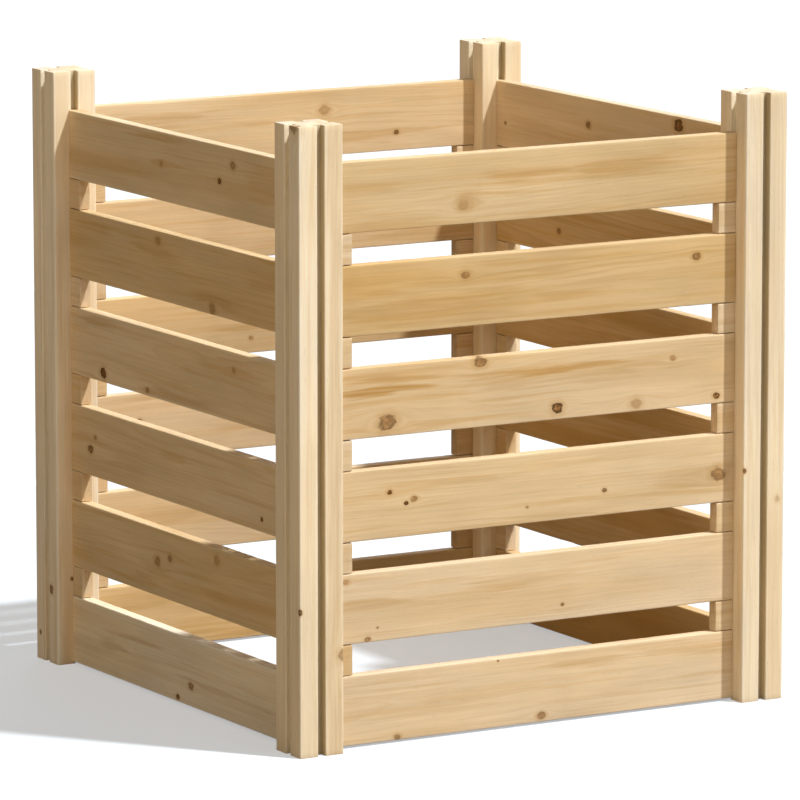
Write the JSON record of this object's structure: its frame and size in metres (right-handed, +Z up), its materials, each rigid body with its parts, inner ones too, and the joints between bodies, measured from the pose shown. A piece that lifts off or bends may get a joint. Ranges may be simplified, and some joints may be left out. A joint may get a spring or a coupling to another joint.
{
  "type": "slatted wooden compost bin",
  "caption": "Square open-topped garden compost bin: grooved corner posts hold removable horizontal slats spaced apart by small blocks for air.",
  "frame": {"origin": "on the ground at the centre of the bin", "axes": "+X to the right seen from the front, +Y from the front side to the back side, +Z up"},
  "size_m": [0.691, 0.691, 0.763],
  "materials": {
    "post_wood": "planed pale softwood, matt",
    "slat_wood": "planed softwood boards with knots, matt",
    "spacer_wood": "planed softwood blocks, matt"
  },
  "bodies": {
    "posts": {"post_front_left": "post_wood", "post_front_right": "post_wood", "post_back_left": "post_wood", "post_back_right": "post_wood"},
    "front_1": {"slat_front_1": "slat_wood", "spacer_front_1_left": "spacer_wood", "spacer_front_1_right": "spacer_wood"},
    "front_2": {"slat_front_2": "slat_wood", "spacer_front_2_left": "spacer_wood", "spacer_front_2_right": "spacer_wood"},
    "front_3": {"slat_front_3": "slat_wood", "spacer_front_3_left": "spacer_wood", "spacer_front_3_right": "spacer_wood"},
    "front_4": {"slat_front_4": "slat_wood", "spacer_front_4_left": "spacer_wood", "spacer_front_4_right": "spacer_wood"},
    "front_5": {"slat_front_5": "slat_wood", "spacer_front_5_left": "spacer_wood", "spacer_front_5_right": "spacer_wood"},
    "front_6": {"slat_front_6": "slat_wood"},
    "right_1": {"slat_right_1": "slat_wood", "spacer_right_1_front": "spacer_wood", "spacer_right_1_back": "spacer_wood"},
    "right_2": {"slat_right_2": "slat_wood", "spacer_right_2_front": "spacer_wood", "spacer_right_2_back": "spacer_wood"},
    "right_3": {"slat_right_3": "slat_wood", "spacer_right_3_front": "spacer_wood", "spacer_right_3_back": "spacer_wood"},
    "right_4": {"slat_right_4": "slat_wood", "spacer_right_4_front": "spacer_wood", "spacer_right_4_back": "spacer_wood"},
    "right_5": {"slat_right_5": "slat_wood", "spacer_right_5_front": "spacer_wood", "spacer_right_5_back": "spacer_wood"},
    "right_6": {"slat_right_6": "slat_wood"},
    "back_1": {"slat_back_1": "slat_wood"},
    "back_2": {"slat_back_2": "slat_wood"},
    "back_3": {"slat_back_3": "slat_wood"},
    "back_4": {"slat_back_4": "slat_wood"},
    "back_5": {"slat_back_5": "slat_wood"},
    "back_6": {"slat_back_6": "slat_wood"},
    "left_1": {"slat_left_1": "slat_wood", "spacer_left_1_back": "spacer_wood", "spacer_left_1_front": "spacer_wood"},
    "left_2": {"slat_left_2": "slat_wood", "spacer_left_2_back": "spacer_wood", "spacer_left_2_front": "spacer_wood"},
    "left_3": {"slat_left_3": "slat_wood", "spacer_left_3_back": "spacer_wood", "spacer_left_3_front": "spacer_wood"},
    "left_4": {"slat_left_4": "slat_wood", "spacer_left_4_back": "spacer_wood", "spacer_left_4_front": "spacer_wood"},
    "left_5": {"slat_left_5": "slat_wood", "spacer_left_5_back": "spacer_wood", "spacer_left_5_front": "spacer_wood"},
    "left_6": {"slat_left_6": "slat_wood"}
  },
  "joints": [
    {"name": "front_1_lift", "type": "slide", "parent": "posts", "child": "front_1", "axis": [0, 0, 1], "range_m": [0, 0.76]},
    {"name": "front_2_lift", "type": "slide", "parent": "front_1", "child": "front_2", "axis": [0, 0, 1], "range_m": [0, 0.635]},
    {"name": "front_3_lift", "type": "slide", "parent": "front_2", "child": "front_3", "axis": [0, 0, 1], "range_m": [0, 0.51]},
    {"name": "front_4_lift", "type": "slide", "parent": "front_3", "child": "front_4", "axis": [0, 0, 1], "range_m": [0, 0.385]},
    {"name": "front_5_lift", "type": "slide", "parent": "front_4", "child": "front_5", "axis": [0, 0, 1], "range_m": [0, 0.26]},
    {"name": "front_6_lift", "type": "slide", "parent": "front_5", "child": "front_6", "axis": [0, 0, 1], "range_m": [0, 0.135]},
    {"name": "right_1_lift", "type": "slide", "parent": "posts", "child": "right_1", "axis": [0, 0, 1], "range_m": [0, 0.76]},
    {"name": "right_2_lift", "type": "slide", "parent": "right_1", "child": "right_2", "axis": [0, 0, 1], "range_m": [0, 0.635]},
    {"name": "right_3_lift", "type": "slide", "parent": "right_2", "child": "right_3", "axis": [0, 0, 1], "range_m": [0, 0.51]},
    {"name": "right_4_lift", "type": "slide", "parent": "right_3", "child": "right_4", "axis": [0, 0, 1], "range_m": [0, 0.385]},
    {"name": "right_5_lift", "type": "slide", "parent": "right_4", "child": "right_5", "axis": [0, 0, 1], "range_m": [0, 0.26]},
    {"name": "right_6_lift", "type": "slide", "parent": "right_5", "child": "right_6", "axis": [0, 0, 1], "range_m": [0, 0.135]},
    {"name": "back_1_lift", "type": "slide", "parent": "posts", "child": "back_1", "axis": [0, 0, 1], "range_m": [0, 0.76]},
    {"name": "back_2_lift", "type": "slide", "parent": "back_1", "child": "back_2", "axis": [0, 0, 1], "range_m": [0, 0.635]},
    {"name": "back_3_lift", "type": "slide", "parent": "back_2", "child": "back_3", "axis": [0, 0, 1], "range_m": [0, 0.51]},
    {"name": "back_4_lift", "type": "slide", "parent": "back_3", "child": "back_4", "axis": [0, 0, 1], "range_m": [0, 0.385]},
    {"name": "back_5_lift", "type": "slide", "parent": "back_4", "child": "back_5", "axis": [0, 0, 1], "range_m": [0, 0.26]},
    {"name": "back_6_lift", "type": "slide", "parent": "back_5", "child": "back_6", "axis": [0, 0, 1], "range_m": [0, 0.135]},
    {"name": "left_1_lift", "type": "slide", "parent": "posts", "child": "left_1", "axis": [0, 0, 1], "range_m": [0, 0.76]},
    {"name": "left_2_lift", "type": "slide", "parent": "left_1", "child": "left_2", "axis": [0, 0, 1], "range_m": [0, 0.635]},
    {"name": "left_3_lift", "type": "slide", "parent": "left_2", "child": "left_3", "axis": [0, 0, 1], "range_m": [0, 0.51]},
    {"name": "left_4_lift", "type": "slide", "parent": "left_3", "child": "left_4", "axis": [0, 0, 1], "range_m": [0, 0.385]},
    {"name": "left_5_lift", "type": "slide", "parent": "left_4", "child": "left_5", "axis": [0, 0, 1], "range_m": [0, 0.26]},
    {"name": "left_6_lift", "type": "slide", "parent": "left_5", "child": "left_6", "axis": [0, 0, 1], "range_m": [0, 0.135]}
  ]
}
